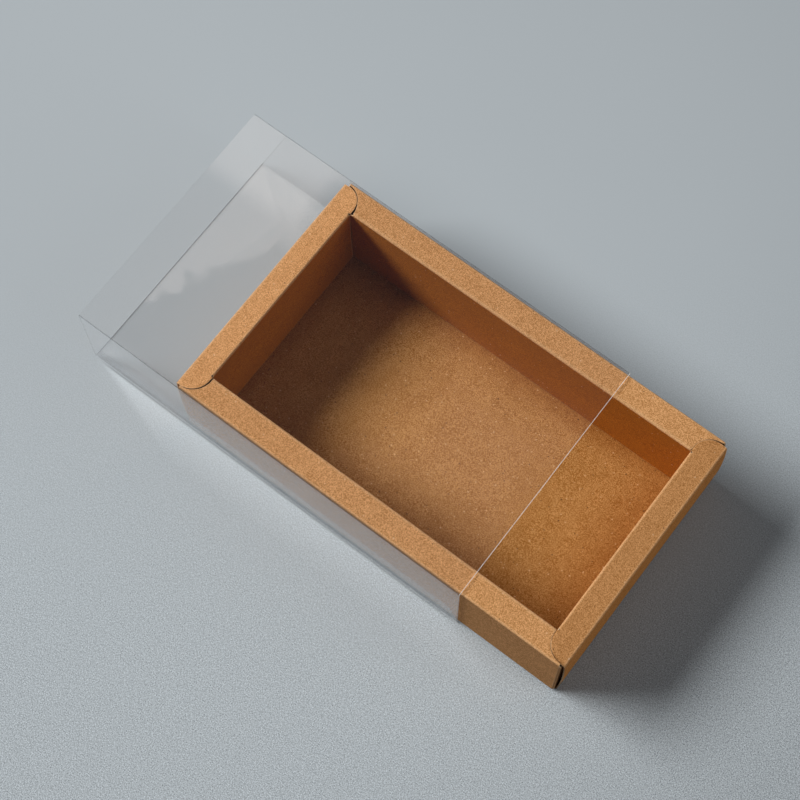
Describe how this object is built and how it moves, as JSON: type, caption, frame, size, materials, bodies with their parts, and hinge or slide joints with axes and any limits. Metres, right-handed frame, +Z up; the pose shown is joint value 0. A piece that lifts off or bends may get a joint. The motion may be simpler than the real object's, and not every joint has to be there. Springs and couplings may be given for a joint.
{
  "type": "sliding drawer gift box",
  "caption": "Kraft card drawer tray with hollow walls and a framed rim, in a clear plastic sleeve open at both ends.",
  "frame": {"origin": "middle of the underside of the clear sleeve, on the surface the box stands on", "axes": "+X along the way the tray slides, towards the end it is pulled out at; +Y across, away from the side with the glue seam; +Z up"},
  "size_m": [0.2143, 0.1014, 0.041],
  "materials": {
    "kraft_card": "matte",
    "clear_sheet": "gloss"
  },
  "bodies": {
    "sleeve": {"sleeve_top": "clear_sheet", "sleeve_bottom": "clear_sheet", "sleeve_far_side": "clear_sheet", "sleeve_near_side": "clear_sheet", "sleeve_glue_flap": "clear_sheet"},
    "tray": {"tray_base": "kraft_card", "tray_near_outer_wall": "kraft_card", "tray_near_rim": "kraft_card", "tray_near_inner_wall": "kraft_card", "tray_near_foot_flap": "kraft_card", "tray_far_outer_wall": "kraft_card", "tray_far_rim": "kraft_card", "tray_far_inner_wall": "kraft_card", "tray_far_foot_flap": "kraft_card", "tray_front_outer_wall": "kraft_card", "tray_front_rim": "kraft_card", "tray_front_inner_wall": "kraft_card", "tray_front_foot_flap": "kraft_card", "tray_back_outer_wall": "kraft_card", "tray_back_rim": "kraft_card", "tray_back_inner_wall": "kraft_card", "tray_back_foot_flap": "kraft_card", "tray_front_far_tuck_flap": "kraft_card", "tray_front_near_tuck_flap": "kraft_card", "tray_back_far_tuck_flap": "kraft_card", "tray_back_near_tuck_flap": "kraft_card"}
  },
  "joints": [
    {"name": "tray_slide", "type": "slide", "parent": "sleeve", "child": "tray", "axis": [1, 0, 0], "range_m": [-0.214, 0.127]}
  ]
}
